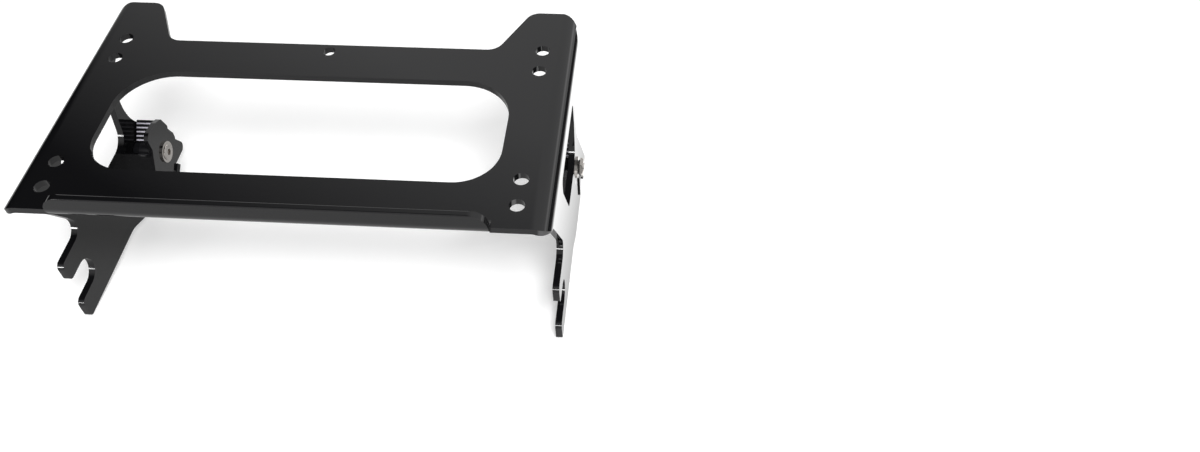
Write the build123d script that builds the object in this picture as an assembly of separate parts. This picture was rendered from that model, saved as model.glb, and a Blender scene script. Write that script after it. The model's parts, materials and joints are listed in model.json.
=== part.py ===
from build123d import *
from math import cos, sin, radians, atan2, hypot, degrees
import os

os.makedirs("parts", exist_ok=True)

# All lengths are millimetres. X runs across the plate, Y towards its eared end, Z up.
# Y is measured from the front row of bolt holes here. The last step moves everything so that
# the origin is the middle of the outer bolt rectangle, on the plate's top face.

# folded sheet
SHEET = 4.0
WIDTH = 298.5
HALF = WIDTH / 2
BEND_INNER = 6.35
BEND_OUTER = BEND_INNER + SHEET
WALL_INNER = HALF - SHEET
REACH = HALF + 10.0

# bolt holes in the plate
HOLE_X = HALF - 19.25
ROWS = (0.0, 18.8, 106.1, 124.4)
HOLE_R = 4.35
CENTRE_HOLE_Y = 117.9
CENTRE_HOLE_R = 3.7
ORIGIN_Y = (ROWS[0] + ROWS[3]) / 2

# plan outline
TAB_FRONT = -16.2
REAR_EDGE = 124.0
EAR_END = 160.0
EAR_FOOT_X = HALF - 47.35
EAR_TIP_X = HALF - 29.95
EAR_FOOT_R = 10.0
EAR_TIP_R = 9.0
EAR_CORNER_R = 11.0
TAB_CORNER_R = 8.0

# window
WIN_X = HALF - 32.45
WIN_FRONT = 14.5
WIN_REAR = 95.3
WIN_FRONT_R = 25.0
WIN_REAR_R = 30.0

# turned-up lip
LIP_FACE = -20.5
LIP_TOP = 13.5
LIP_INNER_R = 5.5
LIP_OUTER_R = LIP_INNER_R + SHEET
LIP_END_X = HALF - 31.25
LIP_CORNER_R = 10.0
LIP_FLAT = LIP_FACE + LIP_OUTER_R
LIP_OVERLAP = 0.6

# docking notches in the side flanges
DOCK_R = 9.3
FRONT_DOCK = (8.0, -88.7)
FINGER_TOP = -65.5
FINGER_FRONT = -5.0
LOWER_FRONT = -7.5
FLANGE_BOTTOM = -112.5
REAR_DOCK = (127.3, -110.5)
REAR_DOCK_LEAN = 20.0
HEEL_BOTTOM = -119.0
PRONG_BOTTOM = -124.6

# waist behind the flange: an arc and the straight edge that runs down from it
WAIST = (142.0, -46.5)
WAIST_R = 31.3

# latch
PIVOT = (104.0, -79.4)
BOLT_R = 3.175
BOLT_HOLE_R = 3.3
SLEEVE_R = 4.4
SLEEVE_BORE_R = 3.25
RUN_CLEAR = 0.06
SIDE_CLEAR = 0.4
HOOK_T = 4.0
HOOK_HUB_R = 6.2
HOOK_IN = SIDE_CLEAR
HOOK_OUT = HOOK_IN + HOOK_T
CHEEK_T = 3.0
CHEEK_IN = 16.5
CHEEK_OUT = CHEEK_IN + CHEEK_T
LEVER_OUT = CHEEK_IN - SIDE_CLEAR
LEVER_HUB_R = 6.6
STUD_R = 9.0
THROAT_CLEAR = 0.5
CLAW_T = 4.4
CLAW_END = -3.0
PAD_ANGLE = 43.0
PAD_LIFT = 2.6
PAD_END = 19.3
PAD_START = 6.3
RIB_COUNT = 5
RIB_PITCH = 2.75
RIB_W = 1.3
RIB_H = 0.8
RIB_TAPER = 0.2
RIVET_R = 2.0
RIVET_AT = (11.5, -72.0)
STOP_R = 2.0
STOP_AT = (10.6, 199.0)
PRESS = 0.01
WASHER_R = 7.15
HEAD_WASHER_T = 1.2
OUTER_WASHER_T = 1.0
WIRE_R = 0.6
WIRE_GAP = 0.05
COIL_R = BOLT_R + WIRE_R + 0.7
SPRING_TOE = (112.15, -121.3)
SPRING_ENTRY = 232.0
SPRING_SHORT = 7.2
WIRE_SIDES = 8
SPRING_HOLE_R = 0.75
SPRING_HOOK = 3.0
NUT_T = 2.2
NUT_FLATS = 11.1
HEAD_R = 5.55
HEAD_H = 3.4
SOCKET_FLATS = 3.97
SOCKET_DEPTH = 2.0


def corner(prev, here, nxt, radius):
    """Start, middle and end of the arc that rounds one corner of an outline."""
    ax, ay = prev[0] - here[0], prev[1] - here[1]
    bx, by = nxt[0] - here[0], nxt[1] - here[1]
    la = hypot(ax, ay)
    lb = hypot(bx, by)
    ax, ay, bx, by = ax / la, ay / la, bx / lb, by / lb
    half = atan2(abs(ax * by - ay * bx), ax * bx + ay * by) / 2
    reach = radius * cos(half) / sin(half)
    start = (here[0] + ax * reach, here[1] + ay * reach)
    end = (here[0] + bx * reach, here[1] + by * reach)
    mx, my = ax + bx, ay + by
    lm = hypot(mx, my)
    deep = radius / sin(half) - radius
    middle = (here[0] + mx / lm * deep, here[1] + my / lm * deep)
    return start, middle, end


def rounded(points):
    """Face inside an outline of (a, b, radius) corners, radius 0 for a sharp corner."""
    count = len(points)
    edges = []
    ends = []
    for i in range(count):
        here = points[i]
        if here[2] > 0:
            start, middle, end = corner(points[i - 1], here, points[(i + 1) % count], here[2])
            edges.append(ThreePointArc((*start,), (*middle,), (*end,)))
        else:
            start = end = (here[0], here[1])
        ends.append((start, end))
    for i in range(count):
        a = ends[i][1]
        b = ends[(i + 1) % count][0]
        if hypot(a[0] - b[0], a[1] - b[1]) > 1e-5:
            edges.append(Line(a, b))
    return make_face(Wire(edges))


def prism_z(face, low, high):
    """Solid of a plan outline between two heights."""
    return Pos(0, 0, low) * extrude(face, high - low, dir=(0, 0, 1))


def prism_x(face, low, high):
    """Solid of a side outline, given as (Y, Z), between two X positions."""
    placed = Plane(origin=(low, 0, 0), x_dir=(0, 1, 0), z_dir=(1, 0, 0)) * face
    return extrude(placed, high - low, dir=(1, 0, 0))


def rod(a, b, y, z, radius):
    """Round bar along X from a to b."""
    face = Pos(y, z) * Circle(radius)
    return prism_x(face, min(a, b), max(a, b))


def inward(distance):
    """X of a plane that lies this far inside the right flange's inner face."""
    return WALL_INNER - distance


def polar(radius, angle):
    """Point (Y, Z) at a radius and angle about the pivot."""
    return PIVOT[0] + radius * cos(radians(angle)), PIVOT[1] + radius * sin(radians(angle))


def channel():
    """The plate and its two side flanges before their outlines are cut."""
    outer = rounded([(-HALF, -150, 0), (-HALF, 0, BEND_OUTER), (HALF, 0, BEND_OUTER), (HALF, -150, 0)])
    inner = rounded([(-WALL_INNER, -151, 0), (-WALL_INNER, -SHEET, BEND_INNER),
                     (WALL_INNER, -SHEET, BEND_INNER), (WALL_INNER, -151, 0)])
    profile = Plane(origin=(0, 170, 0), x_dir=(1, 0, 0), z_dir=(0, -1, 0)) * (outer - inner)
    return extrude(profile, 200, dir=(0, -1, 0))


def plan_outline():
    """Plan of the plate with its ears and its front tabs."""
    tab_x = LIP_END_X - LIP_OVERLAP
    right = [(tab_x, LIP_FLAT, 0), (tab_x, TAB_FRONT, 0), (HALF, TAB_FRONT, TAB_CORNER_R),
             (HALF, EAR_END, EAR_CORNER_R), (EAR_TIP_X, EAR_END, EAR_TIP_R),
             (EAR_FOOT_X, REAR_EDGE, EAR_FOOT_R)]
    left = [(-x, y, r) for x, y, r in reversed(right)]
    return rounded(right + left)


def window():
    """The large window in the plate."""
    return rounded([(-WIN_X, WIN_FRONT, WIN_FRONT_R), (WIN_X, WIN_FRONT, WIN_FRONT_R),
                    (WIN_X, WIN_REAR, WIN_REAR_R), (-WIN_X, WIN_REAR, WIN_REAR_R)])


def side_outline():
    """Side view of the flange with its fingers, docking notches and waist."""
    lean = radians(REAR_DOCK_LEAN)
    down = (-sin(lean), -cos(lean))
    ahead = (-cos(lean), sin(lean))
    cy, cz = REAR_DOCK
    top_front = (cy - DOCK_R * down[0] + DOCK_R * ahead[0], cz - DOCK_R * down[1] + DOCK_R * ahead[1])
    top_rear = (cy - DOCK_R * down[0] - DOCK_R * ahead[0], cz - DOCK_R * down[1] - DOCK_R * ahead[1])
    front_run = (top_front[1] - HEEL_BOTTOM) / -down[1]
    rear_run = (top_rear[1] - PRONG_BOTTOM) / -down[1]
    mouth_front = (top_front[0] + down[0] * front_run, HEEL_BOTTOM)
    mouth_rear = (top_rear[0] + down[0] * rear_run, PRONG_BOTTOM)
    # straight rear edge, tangent to the waist arc
    edge = radians(213.1)
    touch = (WAIST[0] + WAIST_R * cos(edge), WAIST[1] + WAIST_R * sin(edge))
    slope = (-sin(edge), cos(edge))
    tip_run = (touch[1] - PRONG_BOTTOM) / -slope[1]
    tip = (touch[0] + slope[0] * tip_run, PRONG_BOTTOM)
    # line from the waist arc up to the ear
    rise = radians(120.0)
    leave = (WAIST[0] + WAIST_R * cos(rise), WAIST[1] + WAIST_R * sin(rise))
    up = (sin(rise), -cos(rise))
    ear_low = (leave[0] + up[0] * 29.0, leave[1] + up[1] * 29.0)
    # the waist is the corner of the two tangents, rounded by the arc's radius
    over = slope[1] * up[0] - slope[0] * up[1]
    back = ((touch[0] - leave[0]) * slope[1] - (touch[1] - leave[1]) * slope[0]) / over
    waist_corner = (leave[0] + up[0] * back, leave[1] + up[1] * back)
    return rounded([
        (TAB_FRONT, 20, 0), (TAB_FRONT, -5.5, 2.0), (-6.0, -10.5, 9.0), (29.3, FINGER_TOP, 8.0),
        (FINGER_FRONT, FINGER_TOP, 4.0), (FINGER_FRONT, FRONT_DOCK[1] + DOCK_R, 3.0),
        (FRONT_DOCK[0] + DOCK_R, FRONT_DOCK[1] + DOCK_R, DOCK_R),
        (FRONT_DOCK[0] + DOCK_R, FRONT_DOCK[1] - DOCK_R, DOCK_R),
        (LOWER_FRONT, FRONT_DOCK[1] - DOCK_R, 4.0), (LOWER_FRONT, FLANGE_BOTTOM, 2.5),
        (64.0, FLANGE_BOTTOM, 18.0), (80.0, HEEL_BOTTOM, 18.0), (*mouth_front, 2.0),
        (*top_front, DOCK_R), (*top_rear, DOCK_R), (*mouth_rear, 3.5), (*tip, 4.0),
        (*waist_corner, WAIST_R), (*ear_low, 0), (EAR_END + 5, ear_low[1], 0), (EAR_END + 5, 20, 0)])


def flange_opening():
    """The lightening opening in each flange."""
    return rounded([(37.5, -21.0, 4.0), (102.5, -21.0, 5.0), (103.0, -40.0, 20.0), (98.0, -66.0, 12.0),
                    (57.5, -66.0, 7.0), (37.5, -31.0, 6.0)])


def lip():
    """The stiffening lip that stands up along the front edge."""
    top = rounded([(LIP_FLAT + 0.01, 0, 0), (LIP_FLAT + 0.01, -SHEET, 0), (LIP_FACE, -SHEET, LIP_OUTER_R),
                   (LIP_FACE, LIP_TOP, 0.8), (LIP_FACE + SHEET, LIP_TOP, 0.8), (LIP_FACE + SHEET, 0, LIP_INNER_R)])
    bar = prism_x(top, -LIP_END_X, LIP_END_X)
    front = rounded([(-LIP_END_X, -20, 0), (LIP_END_X, -20, 0), (LIP_END_X, LIP_TOP, LIP_CORNER_R),
                     (-LIP_END_X, LIP_TOP, LIP_CORNER_R)])
    cutter = extrude(Plane(origin=(0, 0, 0), x_dir=(1, 0, 0), z_dir=(0, -1, 0)) * front, 60, dir=(0, -1, 0))
    return bar & cutter


def mount_plate():
    """Folded plate: top, ears, lip and both docking flanges."""
    body = channel() & prism_z(plan_outline(), -160, 30)
    body = body & prism_x(side_outline(), -REACH, REACH)
    body = body - prism_z(window(), -30, 30)
    body = body - prism_x(flange_opening(), -REACH, REACH)
    body = body + lip()
    for x in (-HOLE_X, HOLE_X):
        for y in ROWS:
            body = body - Pos(x, y, 0) * Cylinder(HOLE_R, 40)
    body = body - Pos(0, CENTRE_HOLE_Y, 0) * Cylinder(CENTRE_HOLE_R, 40)
    body = body - rod(-REACH, REACH, *PIVOT, BOLT_HOLE_R)
    body = body - rod(-REACH, REACH, *polar(*STOP_AT), STOP_R + PRESS)
    body = body - rod(-REACH, REACH, *spring_anchor()[1], SPRING_HOLE_R)
    return body


def latch_bracket():
    """Cheek plate and the web that ties it to the flange."""
    cheek = rounded([(92.3, -66.0, 2.0), (92.0, -58.0, 3.0), (95.5, -54.8, 3.0), (107.0, -56.0, 4.0),
                     (114.0, -59.0, 3.0), (117.6, -68.5, 1.0), (116.6, -70.3, 1.0), (120.0, -77.5, 3.0),
                     (120.0, -81.0, 3.0), (118.0, -85.0, 4.0), (104.0, -95.0, 8.0), (97.0, -101.0, 5.0),
                     (84.0, -101.0, 5.0), (79.5, -89.5, 4.0)])
    plate = prism_x(cheek, inward(CHEEK_OUT), inward(CHEEK_IN))
    run = hypot(12.5, 23.2)
    dy, dz = 12.5 / run, 23.2 / run
    ny, nz = dz, -dy
    low = (80.4, -87.85)
    high = (low[0] + dy * 21.5, low[1] + dz * 21.5)
    web = rounded([(*low, 0), (*high, 0), (high[0] + ny * CHEEK_T, high[1] + nz * CHEEK_T, 0),
                   (low[0] + ny * CHEEK_T, low[1] + nz * CHEEK_T, 0)])
    body = plate + prism_x(web, inward(CHEEK_IN + 1.0), inward(0))
    return body - rod(inward(CHEEK_OUT + 1), inward(CHEEK_IN - 1), *PIVOT, BOLT_HOLE_R)


def pad_point(along, lift):
    """Point (Y, Z) given along the thumb pad and square to it, from the pivot."""
    a = radians(PAD_ANGLE)
    return PIVOT[0] + along * cos(a) - lift * sin(a), PIVOT[1] + along * sin(a) + lift * cos(a)


def latch_lever():
    """Cast thumb lever: hub, ribbed pad and the lobe that is riveted to the hook."""
    hub = rod(inward(HOOK_OUT), inward(LEVER_OUT), *PIVOT, LEVER_HUB_R)
    lobe_at = polar(*RIVET_AT)
    lobe = rod(inward(HOOK_OUT), inward(12.0), *lobe_at, 4.6)
    neck = rounded([(*polar(5.8, -5), 0), (*polar(13.0, -50), 0), (*polar(13.0, -94), 0), (*polar(5.8, 195), 0)])
    link = prism_x(neck, inward(12.0), inward(HOOK_OUT))
    pad = rounded([(*pad_point(PAD_START, PAD_LIFT), 0), (*pad_point(PAD_START, -4.0), 0),
                   (*pad_point(13.5, -4.0), 6.0), (*pad_point(PAD_END + 1.2, -1.0), 1.0),
                   (*pad_point(PAD_END + 1.2, PAD_LIFT), 0.9)])
    thumb = prism_x(pad, inward(LEVER_OUT), inward(HOOK_IN))
    core = rounded([(*pad_point(0, PAD_LIFT), 0), (*pad_point(0, -5.5), 0), (*pad_point(PAD_START + 0.5, -4.0), 0),
                    (*pad_point(PAD_START + 0.5, PAD_LIFT), 0)])
    bridge = prism_x(core, inward(LEVER_OUT), inward(HOOK_OUT))
    body = hub + lobe + link + thumb + bridge
    for i in range(RIB_COUNT):
        s = PAD_START + 0.15 + i * RIB_PITCH
        rib = rounded([(*pad_point(s, PAD_LIFT - 0.3), 0), (*pad_point(s + RIB_W, PAD_LIFT - 0.3), 0),
                       (*pad_point(s + RIB_W - RIB_TAPER, PAD_LIFT + RIB_H), 0),
                       (*pad_point(s + RIB_TAPER, PAD_LIFT + RIB_H), 0)])
        body = body + prism_x(rib, inward(LEVER_OUT - 0.6), inward(HOOK_IN + 0.6))
    body = body - rod(inward(HOOK_OUT - 1), inward(LEVER_OUT + 1), *PIVOT, SLEEVE_R + RUN_CLEAR)
    body = body - rod(inward(HOOK_OUT - 1), inward(13.0), *lobe_at, RIVET_R + PRESS)
    return body


def ring_sector(inner, outer, start, end):
    """Part of a flat ring about the pivot, as a (Y, Z) face."""
    middle = (start + end) / 2
    edges = [ThreePointArc(polar(outer, start), polar(outer, middle), polar(outer, end)),
             Line(polar(outer, end), polar(inner, end)),
             ThreePointArc(polar(inner, end), polar(inner, middle), polar(inner, start)),
             Line(polar(inner, start), polar(outer, start))]
    return make_face(Wire(edges))


def latch_hook():
    """Steel claw that swings under the rear docking stud."""
    reach = hypot(REAR_DOCK[0] - PIVOT[0], REAR_DOCK[1] - PIVOT[1])
    aim = degrees(atan2(REAR_DOCK[1] - PIVOT[1], REAR_DOCK[0] - PIVOT[0]))
    inner = reach + STUD_R + THROAT_CLEAR
    outer = inner + CLAW_T
    a, b = inward(HOOK_OUT), inward(HOOK_IN)
    arm = rounded([(*polar(HOOK_HUB_R, aim + 75), 0), (*polar(24.0, aim - 4), 10.0), (*polar(outer, aim - 11), 0),
                   (*polar(outer, aim - 22), 0), (*polar(24.0, aim - 36), 6.0), (*polar(HOOK_HUB_R, aim - 100), 0)])
    ring = ring_sector(0.5, outer, aim - 45, aim + 60)
    shank = prism_x(arm, a, b) & prism_x(ring, a, b)
    claw = prism_x(ring_sector(inner, outer, aim - 22, aim + CLAW_END), a, b)
    hub = rod(a, b, *PIVOT, HOOK_HUB_R)
    heel = prism_x(ring_sector(3.0, 12.6, 150.0, 186.0), a, b)
    stud = rod(a - 1, b + 1, *REAR_DOCK, STUD_R + THROAT_CLEAR)
    body = hub + shank + claw + heel
    body = body - stud
    body = body - rod(a - 1, b + 1, *PIVOT, SLEEVE_R + RUN_CLEAR)
    return body - rod(a - 1, b + 1, *polar(*RIVET_AT), RIVET_R + PRESS)


def hook_rivet():
    """Rivet that holds the hook to the lever."""
    return rod(inward(HOOK_IN), inward(12.6), *polar(*RIVET_AT), RIVET_R)


def pivot_sleeve():
    """Spacer that the lever turns on, clamped between flange and cheek."""
    return rod(inward(0), inward(CHEEK_IN), *PIVOT, SLEEVE_R) - rod(inward(-1), inward(CHEEK_IN + 1), *PIVOT,
                                                                       SLEEVE_BORE_R)


def ring(a, b, outer, inner):
    """Flat washer about the pivot between two X positions."""
    return rod(a, b, *PIVOT, outer) - rod(a - 1, b + 1, *PIVOT, inner)


def head_washer():
    """Washer under the bolt head, on the cheek."""
    return ring(inward(CHEEK_OUT + HEAD_WASHER_T), inward(CHEEK_OUT), WASHER_R, BOLT_HOLE_R)


def outer_washer():
    """Washer on the flange's outer face."""
    return ring(HALF, HALF + OUTER_WASHER_T, WASHER_R, BOLT_HOLE_R)


def spring_plane():
    """X of the middle of the spring's wire."""
    return HALF + OUTER_WASHER_T + WIRE_GAP + WIRE_R


def nut_face():
    """X of the nut's inner face."""
    return spring_plane() + WIRE_R + WIRE_GAP


def wire(a, b):
    """Straight run of spring wire between two points."""
    along = (Vector(*b) - Vector(*a)).normalized()
    start = Vector(*a) - along * WIRE_R * 0.9
    end = Vector(*b) + along * WIRE_R * 0.9
    side = (0, 1, 0) if abs(along.X) > 0.5 else (1, 0, 0)
    face = Plane(origin=start, x_dir=side, z_dir=along) * RegularPolygon(WIRE_R, WIRE_SIDES)
    return extrude(face, (end - start).length, dir=along)


def spring_anchor():
    """Start of the coil and the end of the short leg, as two points (Y, Z)."""
    entry = polar(COIL_R, SPRING_ENTRY)
    back = radians(SPRING_ENTRY + 90.0)
    return entry, (entry[0] + SPRING_SHORT * cos(back), entry[1] + SPRING_SHORT * sin(back))


def torsion_spring():
    """Wire spring round the bolt: a short leg hooked into the flange, a long leg on the hook."""
    x = spring_plane()
    mean = COIL_R
    low = SPRING_TOE
    # the long leg leaves the coil on a tangent
    gap = hypot(low[0] - PIVOT[0], low[1] - PIVOT[1])
    aim = degrees(atan2(low[1] - PIVOT[1], low[0] - PIVOT[0]))
    leave = aim + degrees(atan2((gap ** 2 - mean ** 2) ** 0.5, mean))
    end = polar(mean, leave)
    entry, far = spring_anchor()
    back = radians(SPRING_ENTRY + 90.0)
    turn = (SPRING_ENTRY - leave) % 360.0
    face = Plane(origin=(x, *entry), x_dir=(1, 0, 0), z_dir=(0, cos(back), sin(back))) * \
        RegularPolygon(WIRE_R, WIRE_SIDES)
    coil = revolve(face, Axis((x, *PIVOT), (-1, 0, 0)), turn)
    toe = (x, *low)
    body = coil + wire((x, *far), (x, *entry)) + wire((x, *end), toe)
    body = body + wire((x, *far), (HALF - SPRING_HOOK, *far))
    return body + wire(toe, (inward(HOOK_OUT + 0.8), *low))


def lock_nut():
    """Thin nut on the outer end of the pivot bolt."""
    a = nut_face()
    face = Pos(*PIVOT) * RegularPolygon(NUT_FLATS / 2, 6, major_radius=False)
    body = prism_x(face, a, a + NUT_T)
    cone = Plane(origin=(a + NUT_T, *PIVOT), z_dir=(-1, 0, 0)) * Circle(NUT_FLATS / 2 + 0.1)
    dome = extrude(cone, NUT_T + 0.5, dir=(-1, 0, 0), taper=-32)
    body = body & dome
    return body - rod(a - 1, a + NUT_T + 1, *PIVOT, BOLT_R + PRESS)


def pivot_bolt():
    """Button-head bolt that carries the latch."""
    under = inward(CHEEK_OUT + HEAD_WASHER_T)
    end = nut_face() + NUT_T + 0.3
    shank = rod(under, end, *PIVOT, BOLT_R)
    shank = chamfer(shank.edges().filter_by(GeomType.CIRCLE).group_by(Axis.X)[-1], 0.5)
    half = rounded([(0, 0, 0), (HEAD_R, 0, 0), (HEAD_R, 0.8, 0), (HEAD_R - 0.6, 1.9, 0), (HEAD_R - 1.5, 2.8, 0),
                    (HEAD_R - 2.8, HEAD_H, 0), (0, HEAD_H, 0)])
    placed = Plane(origin=(under, *PIVOT), x_dir=(0, 1, 0), z_dir=(0, 0, 1)) * half
    head = revolve(placed, Axis((under, *PIVOT), (1, 0, 0)), 360)
    key = Plane(origin=(under - HEAD_H - 0.5, *PIVOT), x_dir=(0, 1, 0), z_dir=(1, 0, 0)) * \
        RegularPolygon(SOCKET_FLATS / 2, 6, major_radius=False)
    socket = extrude(key, SOCKET_DEPTH + 0.5, dir=(1, 0, 0))
    return shank + head - socket


def stop_pin():
    """Dowel pressed into the flange that the hook's heel rests on."""
    return rod(HALF, inward(HOOK_OUT + 0.8), *polar(*STOP_AT), STOP_R)


SIDE_PIECES = {
    "latch_bracket": latch_bracket, "latch_lever": latch_lever, "latch_hook": latch_hook,
    "hook_rivet": hook_rivet, "pivot_bolt": pivot_bolt, "pivot_sleeve": pivot_sleeve,
    "head_washer": head_washer, "outer_washer": outer_washer, "torsion_spring": torsion_spring,
    "lock_nut": lock_nut, "stop_pin": stop_pin}


def save(name, shape):
    """Write one piece with the origin in the middle of the bolt rectangle."""
    export_step(Pos(0, -ORIGIN_Y, 0) * shape, "parts/" + name + ".step")


save("mount_plate", mount_plate())
for piece, make in SIDE_PIECES.items():
    right_side = make()
    save("right_" + piece, right_side)
    save("left_" + piece, mirror(right_side, about=Plane.YZ))
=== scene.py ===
import bpy
import bmesh
import json
from math import radians, sin, cos, pi, tau, hypot, atan2, acos
from mathutils import Matrix, Vector


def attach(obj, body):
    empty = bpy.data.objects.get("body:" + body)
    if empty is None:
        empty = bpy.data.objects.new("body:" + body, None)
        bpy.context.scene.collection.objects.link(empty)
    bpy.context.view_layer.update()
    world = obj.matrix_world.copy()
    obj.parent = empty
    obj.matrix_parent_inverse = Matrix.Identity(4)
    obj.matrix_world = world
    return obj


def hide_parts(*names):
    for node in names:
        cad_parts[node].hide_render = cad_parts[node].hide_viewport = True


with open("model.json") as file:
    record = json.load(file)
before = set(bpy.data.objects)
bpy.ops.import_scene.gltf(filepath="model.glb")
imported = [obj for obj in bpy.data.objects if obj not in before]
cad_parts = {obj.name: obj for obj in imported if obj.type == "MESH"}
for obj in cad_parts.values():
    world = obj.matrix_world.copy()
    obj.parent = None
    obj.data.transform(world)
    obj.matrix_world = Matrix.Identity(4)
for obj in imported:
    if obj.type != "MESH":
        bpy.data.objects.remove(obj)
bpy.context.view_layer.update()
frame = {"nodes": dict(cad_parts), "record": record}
nodes = frame["nodes"]

# The camera as solved from the plate's bolt holes: metres and radians in the part's own frame.
CAMERA_AT = (0.209459, -0.415475, 0.405731)
CAMERA_PITCH = 0.868777
CAMERA_YAW = 0.101411
CAMERA_ROLL = 0.0364315
CAMERA_LENS = 30.9

# The part stands on the toes of its front fingers and on its two hooks.
FLOOR_TILT = radians(8.2)
TOE_Y = -0.0697
TOE_Z = -0.1125

# The floor: half its side, its gap under the toes, its matt share and its even glow.
FLOOR_HALF = 4.0
FLOOR_GAP = 0.0006
FLOOR_PAPER = 0.66
FLOOR_GLOW = 0.42

# What reflections find of the floor: its share near the part and far to the right, and the light beside the
# right flange. A ramp is a slope and an offset, and ends at 0 and 1.
FLOOR_MIRRORED = 0.5
FLOOR_FAR = 0.05
FLOOR_RIGHT = 1.3
RIGHT_RAMP = (40.0, -5.8)
NEAR_RAMP = (-8.0, 2.6)

# The sky's even light, and the bright walls that reflections find behind, at the side and in front. A pale band
# lies low on the side wall.
SKY = 0.3
BACK_SLOPE = 5.0
BACK_OFFSET = -2.38
SIDE_RAMP = (2.5, 0.0)
FRONT_RAMP = (-2.5, -0.5)
FRONT_WALL = 0.85
BAND_Z = 0.12
BAND_RAMP = (-8.0, 1.0)

# The latch's pivot, the slope of its thumb pad, and where the tops of the pad's ribs begin, in metres.
PIVOT_Y = 0.0418
PIVOT_Z = -0.0794
PAD_SLOPE = radians(43)
RIB_FOOT = 0.0028
RIB_START = 0.006
RIB_SHARPNESS = 9000.0
# The rib tops carry a painted highlight: a light colour with a share of metal, which mostly turns back to the
# lever's black in other pieces' reflections.
RIB_METAL = 0.4
RIB_HIGHLIGHT_HIDDEN_IN_MIRRORS = 0.85
RIB_DARK = (0.006, 0.006, 0.007, 1)
RIB_PAINTED_HIGHLIGHT = (0.8, 0.78, 0.88, 1)

# The pivot bolt, in millimetres: rows of distance from the head's seat, radius, and 1 for a hexagon.
HEAD_SEAT_X = 0.12455
BOLT_PROFILE = (
    (-29.5, 0, 0), (-29.5, 2.7, 0), (-29.0, 3.175, 0), (0, 3.175, 0), (0, 5.2, 0), (0.15, 5.35, 0),
    (0.4, 5.3, 0), (0.65, 5.0, 0), (0.85, 4.4, 0), (1.0, 3.6, 0), (1.08, 2.8, 0), (1.1, 2.15, 1),
    (1.0, 2.0, 1), (-0.6, 2.0, 1), (-0.8, 0, 0))

# The spring, in metres: the planes of its coil and of its leg, the coil's and the wire's radius, the leg's end,
# the turn of the coil, and the share of the leg in which it comes up to the flange.
SPRING_X = 0.1509
LEG_X = 0.1497
COIL_R = 0.004475
WIRE_R = 0.00045
SPRING_TOE = (0.045, -0.1096)
COIL_TURN = radians(330)
COIL_STEPS = 60
LEG_ENTRY = 0.2

# Rounded edges of the sheet pieces: width in metres, and the angle from which an edge counts as sharp.
ROUNDED = {"mount_plate": 0.0007, "left_latch_bracket": 0.0004, "right_latch_bracket": 0.0004}
ROUND_SEGMENTS = 2
ROUND_ANGLE = radians(35)
SMOOTH_ANGLE = radians(40)


def make_camera():
    data = bpy.data.cameras.new("Camera")
    data.lens = CAMERA_LENS
    data.sensor_width = 36.0
    data.clip_start = 0.01
    data.clip_end = 50.0
    turn = Matrix.Rotation(CAMERA_YAW, 3, "Z") @ Matrix.Rotation(-CAMERA_PITCH, 3, "X")
    c, s = cos(CAMERA_ROLL), sin(CAMERA_ROLL)
    right = c * turn.col[0] - s * turn.col[2]
    up = s * turn.col[0] + c * turn.col[2]
    back = -turn.col[1]
    place = Matrix((right, up, back)).transposed().to_4x4()
    place.translation = CAMERA_AT
    camera = bpy.data.objects.new("Camera", data)
    camera.matrix_world = place
    bpy.context.scene.collection.objects.link(camera)
    bpy.context.scene.camera = camera


def new_material(name):
    """A material with an empty node tree, its Principled shader and its output."""
    material = bpy.data.materials.new(name)
    material.use_nodes = True
    tree = material.node_tree
    tree.nodes.clear()
    output = tree.nodes.new("ShaderNodeOutputMaterial")
    shader = tree.nodes.new("ShaderNodeBsdfPrincipled")
    tree.links.new(shader.outputs["BSDF"], output.inputs["Surface"])
    return material, tree, shader


def math_node(tree, operation, first, second=None, third=None, clamp=False):
    """A maths node whose inputs are sockets or plain numbers."""
    node = tree.nodes.new("ShaderNodeMath")
    node.operation = operation
    node.use_clamp = clamp
    for i, value in enumerate((first, second, third)):
        if value is None:
            continue
        if isinstance(value, (int, float)):
            node.inputs[i].default_value = value
        else:
            tree.links.new(value, node.inputs[i])
    return node.outputs[0]


def ramp(tree, value, slope, offset):
    """A straight ramp of a value, held between 0 and 1."""
    return math_node(tree, "MULTIPLY_ADD", value, slope, offset, clamp=True)


def float_inputs(face, defaults):
    """Number inputs of a node group, from (name, default) rows."""
    for name, value in defaults:
        socket = face.new_socket(name=name, in_out="INPUT", socket_type="NodeSocketFloat")
        socket.default_value = value


def peel_group():
    """Orange peel of sprayed or powder paint: a normal and a slow change of roughness."""
    group = bpy.data.node_groups.new("coat peel", "ShaderNodeTree")
    face = group.interface
    float_inputs(face, (("Wave Scale", 260.0), ("Depth", 0.05), ("Roughness", 0.08), ("Haze", 0.02)))
    face.new_socket(name="Roughness", in_out="OUTPUT", socket_type="NodeSocketFloat")
    face.new_socket(name="Normal", in_out="OUTPUT", socket_type="NodeSocketVector")
    n, link = group.nodes, group.links.new
    given = n.new("NodeGroupInput")
    out = n.new("NodeGroupOutput")
    place = n.new("ShaderNodeTexCoord")
    wave = n.new("ShaderNodeTexNoise")
    wave.inputs["Detail"].default_value = 1.5
    link(place.outputs["Object"], wave.inputs["Vector"])
    link(given.outputs["Wave Scale"], wave.inputs["Scale"])
    bump = n.new("ShaderNodeBump")
    bump.inputs["Distance"].default_value = 0.0002
    link(given.outputs["Depth"], bump.inputs["Strength"])
    link(wave.outputs["Fac"], bump.inputs["Height"])
    cloud = n.new("ShaderNodeTexNoise")
    cloud.inputs["Scale"].default_value = 18.0
    cloud.inputs["Detail"].default_value = 3.0
    link(place.outputs["Object"], cloud.inputs["Vector"])
    rough = math_node(group, "MULTIPLY_ADD", cloud.outputs["Fac"], given.outputs["Haze"],
                      given.outputs["Roughness"])
    link(rough, out.inputs["Roughness"])
    link(bump.outputs["Normal"], out.inputs["Normal"])
    return group


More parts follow.
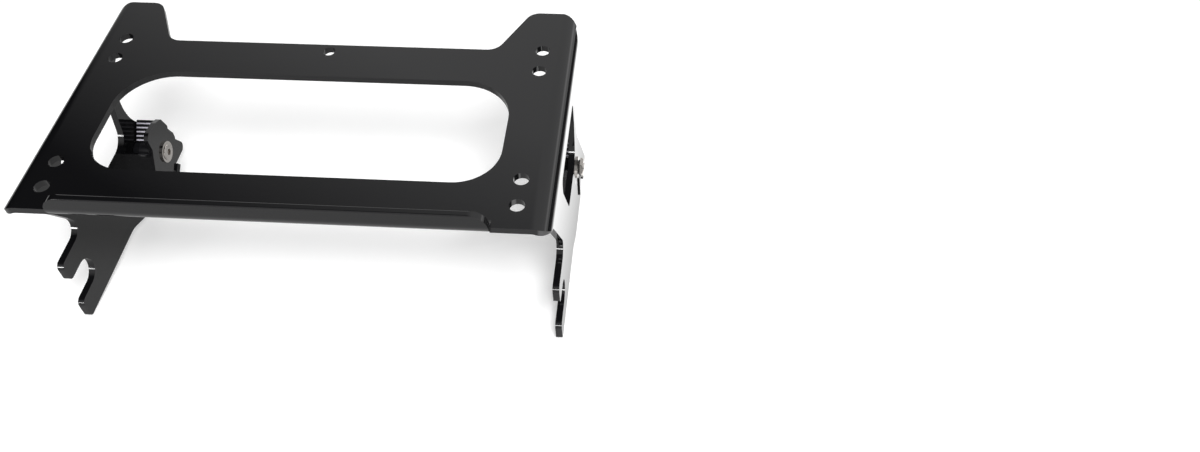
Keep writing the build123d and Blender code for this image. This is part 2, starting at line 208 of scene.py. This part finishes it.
def brushed_group():
    """Fine turning marks on small steel pieces: colour, roughness and normal."""
    group = bpy.data.node_groups.new("turned steel", "ShaderNodeTree")
    face = group.interface
    face.new_socket(name="Light", in_out="INPUT", socket_type="NodeSocketColor")
    face.new_socket(name="Dark", in_out="INPUT", socket_type="NodeSocketColor")
    float_inputs(face, (("Grain Scale", 900.0), ("Depth", 0.1), ("Roughness", 0.2), ("Spread", 0.12)))
    face.new_socket(name="Color", in_out="OUTPUT", socket_type="NodeSocketColor")
    face.new_socket(name="Roughness", in_out="OUTPUT", socket_type="NodeSocketFloat")
    face.new_socket(name="Normal", in_out="OUTPUT", socket_type="NodeSocketVector")
    n, link = group.nodes, group.links.new
    given = n.new("NodeGroupInput")
    out = n.new("NodeGroupOutput")
    place = n.new("ShaderNodeTexCoord")
    grain = n.new("ShaderNodeTexNoise")
    grain.inputs["Detail"].default_value = 3.0
    link(place.outputs["Object"], grain.inputs["Vector"])
    link(given.outputs["Grain Scale"], grain.inputs["Scale"])
    mix = n.new("ShaderNodeMix")
    mix.data_type = "RGBA"
    link(grain.outputs["Fac"], mix.inputs[0])
    link(given.outputs["Dark"], mix.inputs[6])
    link(given.outputs["Light"], mix.inputs[7])
    rough = math_node(group, "MULTIPLY_ADD", grain.outputs["Fac"], given.outputs["Spread"],
                      given.outputs["Roughness"])
    bump = n.new("ShaderNodeBump")
    bump.inputs["Distance"].default_value = 0.0001
    link(given.outputs["Depth"], bump.inputs["Strength"])
    link(grain.outputs["Fac"], bump.inputs["Height"])
    link(mix.outputs[2], out.inputs["Color"])
    link(rough, out.inputs["Roughness"])
    link(bump.outputs["Normal"], out.inputs["Normal"])
    return group


def coated(name, peel, color, roughness, haze, depth, wave, shine=0.5):
    """A black finish with its own shine: powder coat, plating or oxide."""
    material, tree, shader = new_material(name)
    effect = tree.nodes.new("ShaderNodeGroup")
    effect.node_tree = peel
    effect.inputs["Wave Scale"].default_value = wave
    effect.inputs["Depth"].default_value = depth
    effect.inputs["Roughness"].default_value = roughness
    effect.inputs["Haze"].default_value = haze
    tree.links.new(effect.outputs["Roughness"], shader.inputs["Roughness"])
    tree.links.new(effect.outputs["Normal"], shader.inputs["Normal"])
    shader.inputs["Base Color"].default_value = (*color, 1)
    shader.inputs["IOR"].default_value = 1.5
    shader.inputs["Specular IOR Level"].default_value = shine
    return material


def rib_mask_group():
    """1 on the tops of the thumb pad's ribs, 0 below them; the tops get a painted highlight colour."""
    group = bpy.data.node_groups.new("rib tops", "ShaderNodeTree")
    face = group.interface
    float_inputs(face, (("Foot", RIB_FOOT), ("Sharpness", RIB_SHARPNESS)))
    face.new_socket(name="Color", in_out="OUTPUT", socket_type="NodeSocketColor")
    face.new_socket(name="Mask", in_out="OUTPUT", socket_type="NodeSocketFloat")
    face.new_socket(name="Roughness", in_out="OUTPUT", socket_type="NodeSocketFloat")
    given = group.nodes.new("NodeGroupInput")
    out = group.nodes.new("NodeGroupOutput")
    place = group.nodes.new("ShaderNodeTexCoord")
    apart = group.nodes.new("ShaderNodeSeparateXYZ")
    group.links.new(place.outputs["Object"], apart.inputs[0])
    y = math_node(group, "SUBTRACT", apart.outputs["Y"], PIVOT_Y)
    z = math_node(group, "SUBTRACT", apart.outputs["Z"], PIVOT_Z)
    lift = math_node(group, "MULTIPLY", y, -sin(PAD_SLOPE))
    lift = math_node(group, "MULTIPLY_ADD", z, cos(PAD_SLOPE), lift)
    over = math_node(group, "SUBTRACT", lift, given.outputs["Foot"])
    over = math_node(group, "MULTIPLY", over, given.outputs["Sharpness"], clamp=True)
    along = math_node(group, "MULTIPLY", y, cos(PAD_SLOPE))
    along = math_node(group, "MULTIPLY_ADD", z, sin(PAD_SLOPE), along)
    past = math_node(group, "SUBTRACT", math_node(group, "ABSOLUTE", along), RIB_START)
    past = math_node(group, "MULTIPLY", past, given.outputs["Sharpness"], clamp=True)
    mask = math_node(group, "MULTIPLY", over, past)
    # Painted highlight: the lever's black below the tops, a light colour on the rib tops.
    mix = group.nodes.new("ShaderNodeMix")
    mix.data_type = "RGBA"
    mix.inputs[6].default_value = RIB_DARK
    mix.inputs[7].default_value = RIB_PAINTED_HIGHLIGHT
    group.links.new(mask, mix.inputs[0])
    group.links.new(mix.outputs[2], out.inputs["Color"])
    metal = math_node(group, "MULTIPLY", mask, RIB_METAL)
    group.links.new(metal, out.inputs["Mask"])
    rough = math_node(group, "MULTIPLY_ADD", mask, -0.06, 0.3)
    group.links.new(rough, out.inputs["Roughness"])
    return group


def ribbed(name, peel, tops):
    """Satin cast lever whose rib tops carry a painted highlight, which mostly turns to black in the gloss of
    other pieces.
    """
    material, tree, shader = new_material(name)
    skin = tree.nodes.new("ShaderNodeGroup")
    skin.node_tree = peel
    skin.inputs["Wave Scale"].default_value = 900.0
    skin.inputs["Depth"].default_value = 0.2
    highlight_tops = tree.nodes.new("ShaderNodeGroup")
    highlight_tops.node_tree = tops
    link = tree.links.new
    link(skin.outputs["Normal"], shader.inputs["Normal"])
    # The painted highlight on the rib tops shows to the camera and mostly turns to black in reflections.
    path = tree.nodes.new("ShaderNodeLightPath")
    dim = tree.nodes.new("ShaderNodeMix")
    dim.data_type = "RGBA"
    link(math_node(tree, "MULTIPLY", path.outputs["Is Glossy Ray"], RIB_HIGHLIGHT_HIDDEN_IN_MIRRORS), dim.inputs[0])
    link(highlight_tops.outputs["Color"], dim.inputs[6])
    dim.inputs[7].default_value = RIB_DARK
    link(dim.outputs[2], shader.inputs["Base Color"])
    link(highlight_tops.outputs["Mask"], shader.inputs["Metallic"])
    link(highlight_tops.outputs["Roughness"], shader.inputs["Roughness"])
    shader.inputs["IOR"].default_value = 1.5
    return material


def steel(name, turned, light, dark, roughness, spread, depth, grain):
    """A bare or plated steel finish."""
    material, tree, shader = new_material(name)
    effect = tree.nodes.new("ShaderNodeGroup")
    effect.node_tree = turned
    effect.inputs["Light"].default_value = (*light, 1)
    effect.inputs["Dark"].default_value = (*dark, 1)
    effect.inputs["Grain Scale"].default_value = grain
    effect.inputs["Depth"].default_value = depth
    effect.inputs["Roughness"].default_value = roughness
    effect.inputs["Spread"].default_value = spread
    tree.links.new(effect.outputs["Color"], shader.inputs["Base Color"])
    tree.links.new(effect.outputs["Roughness"], shader.inputs["Roughness"])
    tree.links.new(effect.outputs["Normal"], shader.inputs["Normal"])
    shader.inputs["Metallic"].default_value = 1.0
    return material


def dress(materials):
    """Each CAD node takes the finish of its material slot."""
    slots = {row["node"]: row["material_slot"] for row in frame["record"]["subparts"]}
    for name, node in nodes.items():
        node.data.materials.clear()
        node.data.materials.append(materials[slots[name]])


def round_edges(name, width):
    """Sprayed and deburred edges: a small rounding on a CAD node's sharp edges."""
    node = nodes[name]
    edge = node.modifiers.new("edge", "BEVEL")
    edge.width = width
    edge.segments = ROUND_SEGMENTS
    edge.limit_method = "ANGLE"
    edge.angle_limit = ROUND_ANGLE
    edge.harden_normals = True


def new_piece(name, form, body, slot, material, *stands_for):
    """Object from a bmesh that rides on a body and stands for CAD nodes."""
    bmesh.ops.recalc_face_normals(form, faces=form.faces)
    for face in form.faces:
        face.smooth = True
    mesh = bpy.data.meshes.new(name)
    form.to_mesh(mesh)
    form.free()
    mesh.materials.append(material)
    piece = bpy.data.objects.new(name, mesh)
    bpy.context.scene.collection.objects.link(piece)
    split = piece.modifiers.new("split", "EDGE_SPLIT")
    split.split_angle = SMOOTH_ANGLE
    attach(piece, body)
    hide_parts(*stands_for)
    return piece


def turned_form(profile, x0, sign, steps=96):
    """Turned form about the latch's axis, from rows of distance along X, radius, and 1 for a hexagon."""
    form = bmesh.new()
    rings = []
    for along, radius, hexagon in profile:
        x = x0 + sign * along
        if radius == 0:
            rings.append([form.verts.new((x, PIVOT_Y, PIVOT_Z))])
            continue
        ring = []
        for i in range(steps):
            angle = tau * i / steps
            reach = radius
            if hexagon:
                reach = radius / cos((angle + pi / 6) % (pi / 3) - pi / 6)
            ring.append(form.verts.new((x, PIVOT_Y + reach * cos(angle), PIVOT_Z + reach * sin(angle))))
        rings.append(ring)
    for a, b in zip(rings, rings[1:]):
        for i in range(steps):
            j = (i + 1) % steps
            if len(a) == 1:
                form.faces.new((a[0], b[j], b[i]))
            elif len(b) == 1:
                form.faces.new((a[i], a[j], b[0]))
            else:
                form.faces.new((a[i], a[j], b[j], b[i]))
    return form


def wire_form(points, radius, sides=14):
    """Closed round wire along a row of points."""
    form = bmesh.new()
    rings = []
    last = None
    for i, point in enumerate(points):
        along = (points[min(i + 1, len(points) - 1)] - points[max(i - 1, 0)]).normalized()
        side = along.cross(Vector((1, 0, 0)))
        if side.length < 0.3:
            side = along.cross(Vector((0, 1, 0)))
        if last and side.dot(last) < 0:
            side = -side
        side.normalize()
        last = side
        up = along.cross(side)
        ring = []
        for k in range(sides):
            spread = cos(tau * k / sides) * side + sin(tau * k / sides) * up
            ring.append(form.verts.new(point + radius * spread))
        rings.append(ring)
    for a, b in zip(rings, rings[1:]):
        for k in range(sides):
            form.faces.new((a[k], a[(k + 1) % sides], b[(k + 1) % sides], b[k]))
    form.faces.new(rings[0])
    form.faces.new(rings[-1])
    return form


def add_bolts(material):
    """Low button heads with a hexagon socket, smooth where the CAD heads are faceted."""
    scaled = [(along / 1000, radius / 1000, hexagon) for along, radius, hexagon in BOLT_PROFILE]
    for side, sign in (("left", -1), ("right", 1)):
        form = turned_form(scaled, sign * HEAD_SEAT_X, -sign)
        new_piece(side + "_button_bolt", form, "mount", "stainless", material, side + "_pivot_bolt")


def add_springs(material):
    """Spring wire outside each flange: a coil behind the nut and the leg that comes down from it."""
    toe_y, toe_z = SPRING_TOE[0] - PIVOT_Y, SPRING_TOE[1] - PIVOT_Z
    gap = hypot(toe_y, toe_z)
    leave = atan2(toe_z, toe_y) + acos(COIL_R / gap)
    for side, sign in (("left", -1), ("right", 1)):
        x = sign * SPRING_X
        points = []
        for i in range(COIL_STEPS + 1):
            angle = leave + COIL_TURN * (1 - i / COIL_STEPS)
            points.append(Vector((x, PIVOT_Y + COIL_R * cos(angle), PIVOT_Z + COIL_R * sin(angle))))
        end = points[-1]
        toe = Vector((sign * LEG_X, *SPRING_TOE))
        near = end.lerp(toe, LEG_ENTRY)
        near.x = toe.x
        for i in range(1, 7):
            step = end.lerp(near, i / 6)
            step.x = x + (toe.x - x) * (1 - cos(pi * i / 6)) / 2
            points.append(step)
        for i in range(1, 11):
            points.append(near.lerp(toe, i / 10))
        form = wire_form(points, WIRE_R)
        new_piece(side + "_spring_wire", form, side + "_latch", "spring_wire", material,
                  side + "_torsion_spring")


def add_floor():
    """White studio floor that keeps the part's soft shadow, and that is clear from below."""
    mesh = bpy.data.meshes.new("floor")
    grid = bmesh.new()
    bmesh.ops.create_grid(grid, x_segments=1, y_segments=1, size=FLOOR_HALF)
    grid.to_mesh(mesh)
    grid.free()
    floor = bpy.data.objects.new("floor", mesh)
    stand = Matrix.Translation((0, TOE_Y, TOE_Z - FLOOR_GAP))
    floor.matrix_world = stand @ Matrix.Rotation(-FLOOR_TILT, 4, "X")
    bpy.context.scene.collection.objects.link(floor)
    material = bpy.data.materials.new("white floor")
    material.use_nodes = True
    tree = material.node_tree
    tree.nodes.clear()
    n, link = tree.nodes, tree.links.new
    output = n.new("ShaderNodeOutputMaterial")
    paper = n.new("ShaderNodeBsdfDiffuse")
    glow = n.new("ShaderNodeEmission")
    path = n.new("ShaderNodeLightPath")
    place = n.new("ShaderNodeTexCoord")
    apart = n.new("ShaderNodeSeparateXYZ")
    link(place.outputs["Object"], apart.inputs[0])
    glossy = path.outputs["Is Glossy Ray"]
    seen = math_node(tree, "MAXIMUM", path.outputs["Is Camera Ray"], glossy)
    seen = math_node(tree, "MAXIMUM", seen, path.outputs["Is Transmission Ray"])
    right = ramp(tree, apart.outputs["X"], *RIGHT_RAMP)
    near = ramp(tree, apart.outputs["X"], *NEAR_RAMP)
    extra = math_node(tree, "MULTIPLY", right, glossy)
    extra = math_node(tree, "MULTIPLY", extra, near)
    dimmer = math_node(tree, "MULTIPLY_ADD", near, FLOOR_MIRRORED - FLOOR_FAR, FLOOR_FAR - 1.0)
    dimmer = math_node(tree, "MULTIPLY_ADD", glossy, dimmer, 1.0)
    level = math_node(tree, "MULTIPLY", seen, FLOOR_GLOW)
    level = math_node(tree, "MULTIPLY", level, dimmer)
    level = math_node(tree, "MULTIPLY_ADD", extra, FLOOR_RIGHT, level)
    shade = math_node(tree, "MULTIPLY", dimmer, FLOOR_PAPER)
    grey = n.new("ShaderNodeCombineColor")
    for channel in ("Red", "Green", "Blue"):
        link(shade, grey.inputs[channel])
    link(grey.outputs[0], paper.inputs["Color"])
    link(level, glow.inputs["Strength"])
    both = n.new("ShaderNodeAddShader")
    link(paper.outputs[0], both.inputs[0])
    link(glow.outputs[0], both.inputs[1])
    under = n.new("ShaderNodeNewGeometry")
    clear = n.new("ShaderNodeBsdfTransparent")
    sides = n.new("ShaderNodeMixShader")
    link(under.outputs["Backfacing"], sides.inputs[0])
    link(both.outputs[0], sides.inputs[1])
    link(clear.outputs[0], sides.inputs[2])
    link(sides.outputs[0], output.inputs["Surface"])
    mesh.materials.append(material)


def add_world():
    """White for the camera, graded studio walls in reflections, an even dim sky for light."""
    world = bpy.data.worlds.new("studio")
    bpy.context.scene.world = world
    world.use_nodes = True
    tree = world.node_tree
    tree.nodes.clear()
    n, link = tree.nodes, tree.links.new
    output = n.new("ShaderNodeOutputWorld")
    sky = n.new("ShaderNodeBackground")
    path = n.new("ShaderNodeLightPath")
    place = n.new("ShaderNodeTexCoord")
    apart = n.new("ShaderNodeSeparateXYZ")
    link(place.outputs["Generated"], apart.inputs[0])
    glossy = path.outputs["Is Glossy Ray"]
    back = math_node(tree, "MULTIPLY_ADD", apart.outputs["Y"], BACK_SLOPE, BACK_OFFSET)
    back = math_node(tree, "ADD", back, apart.outputs["X"], clamp=True)
    side = ramp(tree, apart.outputs["X"], *SIDE_RAMP)
    front = ramp(tree, apart.outputs["Y"], *FRONT_RAMP)
    front = math_node(tree, "MULTIPLY", front, FRONT_WALL)
    wall = math_node(tree, "MAXIMUM", back, side)
    wall = math_node(tree, "MAXIMUM", wall, front)
    band = math_node(tree, "SUBTRACT", apart.outputs["Z"], BAND_Z)
    band = ramp(tree, math_node(tree, "ABSOLUTE", band), *BAND_RAMP)
    band = math_node(tree, "MULTIPLY", band, side)
    wall = math_node(tree, "ADD", wall, band)
    wall = math_node(tree, "MULTIPLY", wall, glossy)
    dim = math_node(tree, "SUBTRACT", 1.0, glossy)
    level = math_node(tree, "MULTIPLY_ADD", dim, SKY, wall)
    level = math_node(tree, "MAXIMUM", level, path.outputs["Is Camera Ray"])
    link(level, sky.inputs["Strength"])
    link(sky.outputs[0], output.inputs["Surface"])


def softbox(name, at, to, size, watts, mirrored=False):
    """Rectangular lamp at one point that faces another, and that reflections may show."""
    data = bpy.data.lights.new(name, "AREA")
    data.shape = "RECTANGLE"
    data.size, data.size_y = size
    data.energy = watts
    lamp = bpy.data.objects.new(name, data)
    aim = Vector(to) - Vector(at)
    lamp.matrix_world = Matrix.Translation(at) @ aim.to_track_quat("-Z", "Y").to_matrix().to_4x4()
    lamp.visible_glossy = mirrored
    bpy.context.scene.collection.objects.link(lamp)


def add_lights():
    """Three soft lamps, and two narrow ones that glint on the cut edges of the fingers."""
    softbox("key", (0.5, -0.85, 1.3), (0.0, 0.0, -0.05), (0.45, 0.45), 33.0)
    softbox("overhead", (0.1, 0.0, 1.7), (0.0, 0.0, 0.0), (1.6, 1.6), 9.0)
    softbox("rear right", (0.35, 1.25, 1.05), (0.05, 0.0, 0.0), (1.5, 1.1), 4.0)
    softbox("left glint", (-0.985, -1.35, 0.24), (-0.147, -0.07, -0.06), (0.1, 0.3), 3.0, mirrored=True)
    softbox("right glint", (-0.018, -1.55, 0.33), (0.147, -0.07, -0.06), (0.1, 0.15), 1.5, mirrored=True)


bpy.context.scene.view_settings.view_transform = "Standard"
make_camera()
peel = peel_group()
turned = brushed_group()
finishes = {
    "black_coat": coated("gloss black coat", peel, (0.004, 0.004, 0.0045), 0.05, 0.02, 0.03, 260.0),
    "cast_black": ribbed("satin cast black", peel, rib_mask_group()),
    "hook_steel": coated("black plated hook", peel, (0.006, 0.006, 0.007), 0.4, 0.08, 0.15, 600.0,
                         shine=0.15),
    "spring_wire": coated("black oxide wire", peel, (0.012, 0.012, 0.012), 0.45, 0.05, 0.1, 900.0,
                          shine=0.1),
    "stainless": steel("stainless", turned, (0.6, 0.57, 0.54), (0.4, 0.38, 0.36), 0.1, 0.08, 0.08,
                       900.0),
    "zinc_steel": steel("zinc plate", turned, (0.62, 0.62, 0.63), (0.42, 0.42, 0.44), 0.25, 0.15, 0.1,
                        700.0),
    "bearing_steel": steel("ground steel", turned, (0.5, 0.5, 0.5), (0.36, 0.36, 0.36), 0.2, 0.1, 0.05,
                           900.0),
}
dress(finishes)
add_bolts(finishes["stainless"])
add_springs(finishes["spring_wire"])
for name, width in ROUNDED.items():
    round_edges(name, width)
add_floor()
add_world()
add_lights()
